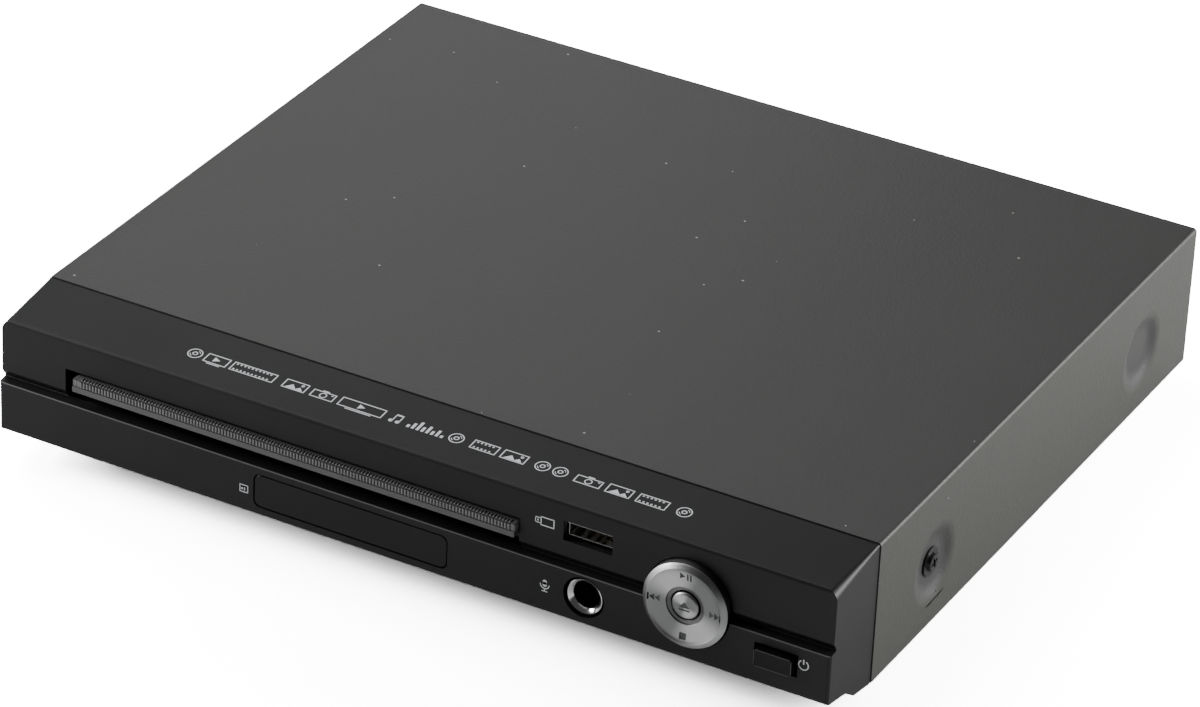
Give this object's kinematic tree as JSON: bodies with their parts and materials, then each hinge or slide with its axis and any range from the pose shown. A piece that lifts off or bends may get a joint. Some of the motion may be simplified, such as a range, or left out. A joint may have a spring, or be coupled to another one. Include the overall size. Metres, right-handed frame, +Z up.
{
  "type": "disc player with tray",
  "caption": "Compact disc player with a front loading tray, round multi-way control, USB socket, microphone jack and display window",
  "frame": {"origin": "middle of the box under the feet", "axes": "+X to the right seen from the front, +Y to the back, +Z up"},
  "size_m": [0.24, 0.2204, 0.0443],
  "materials": {
    "cover_paint": "textured powder coat",
    "zinc_steel": "zinc plated sheet",
    "bezel_black": "polished moulding",
    "black_plastic": "moulded",
    "smoke_clear": "smoke-tinted clear moulding",
    "window_black": "dark tinted window",
    "silver_plated": "bright plated",
    "satin_silver": "turned satin",
    "screw_black": "blackened",
    "screw_zinc": "zinc plated",
    "rubber_black": "moulded",
    "frame_grey": "moulded",
    "gear_white": "acetal",
    "board_green": "solder mask",
    "board_tan": "paper laminate",
    "board_parts": "moulded packages",
    "heatsink_metal": "extruded",
    "motor_can": "drawn can",
    "rod_steel": "ground",
    "transformer_wrap": "tape and ferrite",
    "capacitor_sleeve": "shrink sleeve",
    "cable_white": "film",
    "jack_insert": "coloured insert",
    "lens_body": "lens and holder",
    "clamp_white": "moulded",
    "display_dark": "display package"
  },
  "bodies": {
    "case": {"top_cover": "cover_paint", "chassis_pan": "zinc_steel", "rear_panel": "cover_paint", "front_bezel": "bezel_black", "feet": "rubber_black", "side_screws": "screw_black", "rear_screws": "screw_black", "display_window": "window_black", "display_module": "display_dark", "ir_receiver": "board_parts", "front_board": "board_green", "tact_switches": "board_parts", "usb_shell": "silver_plated", "usb_tongue": "black_plastic", "mic_jack": "black_plastic", "jack_bushing": "silver_plated", "power_switch": "black_plastic", "main_board": "board_green", "board_components": "board_parts", "chip_heatsink": "heatsink_metal", "power_board": "board_tan", "transformer": "transformer_wrap", "capacitors": "capacitor_sleeve", "power_heatsink": "heatsink_metal", "mains_inlet": "black_plastic", "inlet_pins": "silver_plated", "rca_block": "black_plastic", "rca_shells": "silver_plated", "rca_inserts": "jack_insert", "front_ribbon": "cable_white", "deck_ribbon": "cable_white", "board_screws": "screw_zinc", "loader_frame": "frame_grey", "loader_screws": "screw_zinc", "clamp_bridge": "zinc_steel", "loading_motor": "motor_can", "drive_belt": "rubber_black"},
    "tray": {"disc_tray": "black_plastic", "tray_door": "smoke_clear"},
    "cam": {"cam_slider": "gear_white"},
    "motor_rotor": {"motor_pulley": "gear_white"},
    "drive_pulley": {"pulley_gear": "gear_white"},
    "drive_gear": {"tray_gear": "gear_white"},
    "clamp": {"disc_clamp": "clamp_white"},
    "deck": {"deck_cradle": "frame_grey", "deck_dampers": "rubber_black", "deck_screws": "screw_zinc", "traverse_plate": "zinc_steel", "spindle_motor": "motor_can", "guide_rods": "rod_steel", "sled_motor": "motor_can"},
    "spindle": {"turntable": "black_plastic"},
    "pickup": {"pickup_sled": "frame_grey"},
    "lens": {"lens_holder": "lens_body"},
    "feed_rotor": {"feed_pinion": "gear_white"},
    "feed_wheel": {"feed_gear": "gear_white"},
    "rocker": {"ring_carrier": "black_plastic"},
    "dial": {"control_ring": "satin_silver"},
    "eject": {"eject_button": "satin_silver"},
    "power": {"power_button": "black_plastic"}
  },
  "joints": [
    {"name": "tray_slide", "type": "slide", "parent": "case", "child": "tray", "axis": [0, -1, 0], "range_m": [0, 0.136]},
    {"name": "drive_gear_turn", "type": "hinge", "parent": "case", "child": "drive_gear", "pos_m": [-0.07555, -0.07925, 0.023], "axis": [0, 0, 1], "range_deg": [-1, 651]},
    {"name": "drive_pulley_turn", "type": "hinge", "parent": "case", "child": "drive_pulley", "pos_m": [-0.05155, -0.07925, 0.02], "axis": [0, 0, 1], "range_deg": [-1950, 1]},
    {"name": "loading_motor_turn", "type": "hinge", "parent": "case", "child": "motor_rotor", "pos_m": [-0.02055, -0.07925, 0.019], "axis": [0, 0, 1], "range_deg": [-6417, 1]},
    {"name": "deck_tilt", "type": "hinge", "parent": "case", "child": "deck", "pos_m": [-0.03255, 0.05775, 0.019], "axis": [1, 0, 0], "range_deg": [0, 3.5]},
    {"name": "cam_slide", "type": "slide", "parent": "case", "child": "cam", "axis": [1, 0, 0], "range_m": [-0.0001, 0.0141]},
    {"name": "spindle_turn", "type": "hinge", "parent": "deck", "child": "spindle", "pos_m": [-0.03255, -0.03425, 0.03], "axis": [0, 0, 1], "continuous": true},
    {"name": "clamp_turn", "type": "hinge", "parent": "case", "child": "clamp", "pos_m": [-0.03255, -0.03425, 0.037], "axis": [0, 0, 1], "continuous": true},
    {"name": "pickup_slide", "type": "slide", "parent": "deck", "child": "pickup", "axis": [0, 1, 0], "range_m": [0, 0.034]},
    {"name": "lens_focus", "type": "slide", "parent": "pickup", "child": "lens", "axis": [0, 0, 1], "range_m": [-0.0005, 0.0005], "stiffness_N_per_m": 60},
    {"name": "feed_wheel_turn", "type": "hinge", "parent": "deck", "child": "feed_wheel", "pos_m": [0.00155, 0.02175, 0.0255], "axis": [0, 0, 1], "range_deg": [-204, 1]},
    {"name": "sled_motor_turn", "type": "hinge", "parent": "deck", "child": "feed_rotor", "pos_m": [0.00155, 0.00815, 0.0255], "axis": [0, 0, 1], "range_deg": [-1, 488]},
    {"name": "ring_rock", "type": "hinge", "parent": "case", "child": "rocker", "pos_m": [0.0803, -0.10315, 0.026], "axis": [1, 0, 0], "range_deg": [-2, 2], "stiffness_Nm_per_rad": 0.5},
    {"name": "ring_sway", "type": "hinge", "parent": "rocker", "child": "dial", "pos_m": [0.0803, -0.10315, 0.026], "axis": [0, 0, 1], "range_deg": [-2, 2], "stiffness_Nm_per_rad": 0.5},
    {"name": "eject_press", "type": "slide", "parent": "case", "child": "eject", "axis": [0, 1, 0], "range_m": [0, 0.0006], "stiffness_N_per_m": 400},
    {"name": "power_press", "type": "slide", "parent": "case", "child": "power", "axis": [0, 1, 0], "range_m": [0, 0.0025], "stiffness_N_per_m": 300}
  ],
  "couplings": [
    {"joint": "drive_gear_turn", "follows": "tray_slide", "rad_per_m": 83.333},
    {"joint": "drive_pulley_turn", "follows": "tray_slide", "rad_per_m": -250},
    {"joint": "loading_motor_turn", "follows": "tray_slide", "rad_per_m": -823.33},
    {"joint": "cam_slide", "follows": "deck_tilt", "m_per_rad": 0.22918},
    {"joint": "clamp_turn", "follows": "spindle_turn", "ratio": 1},
    {"joint": "feed_wheel_turn", "follows": "pickup_slide", "rad_per_m": -104.17},
    {"joint": "sled_motor_turn", "follows": "pickup_slide", "rad_per_m": 250}
  ]
}
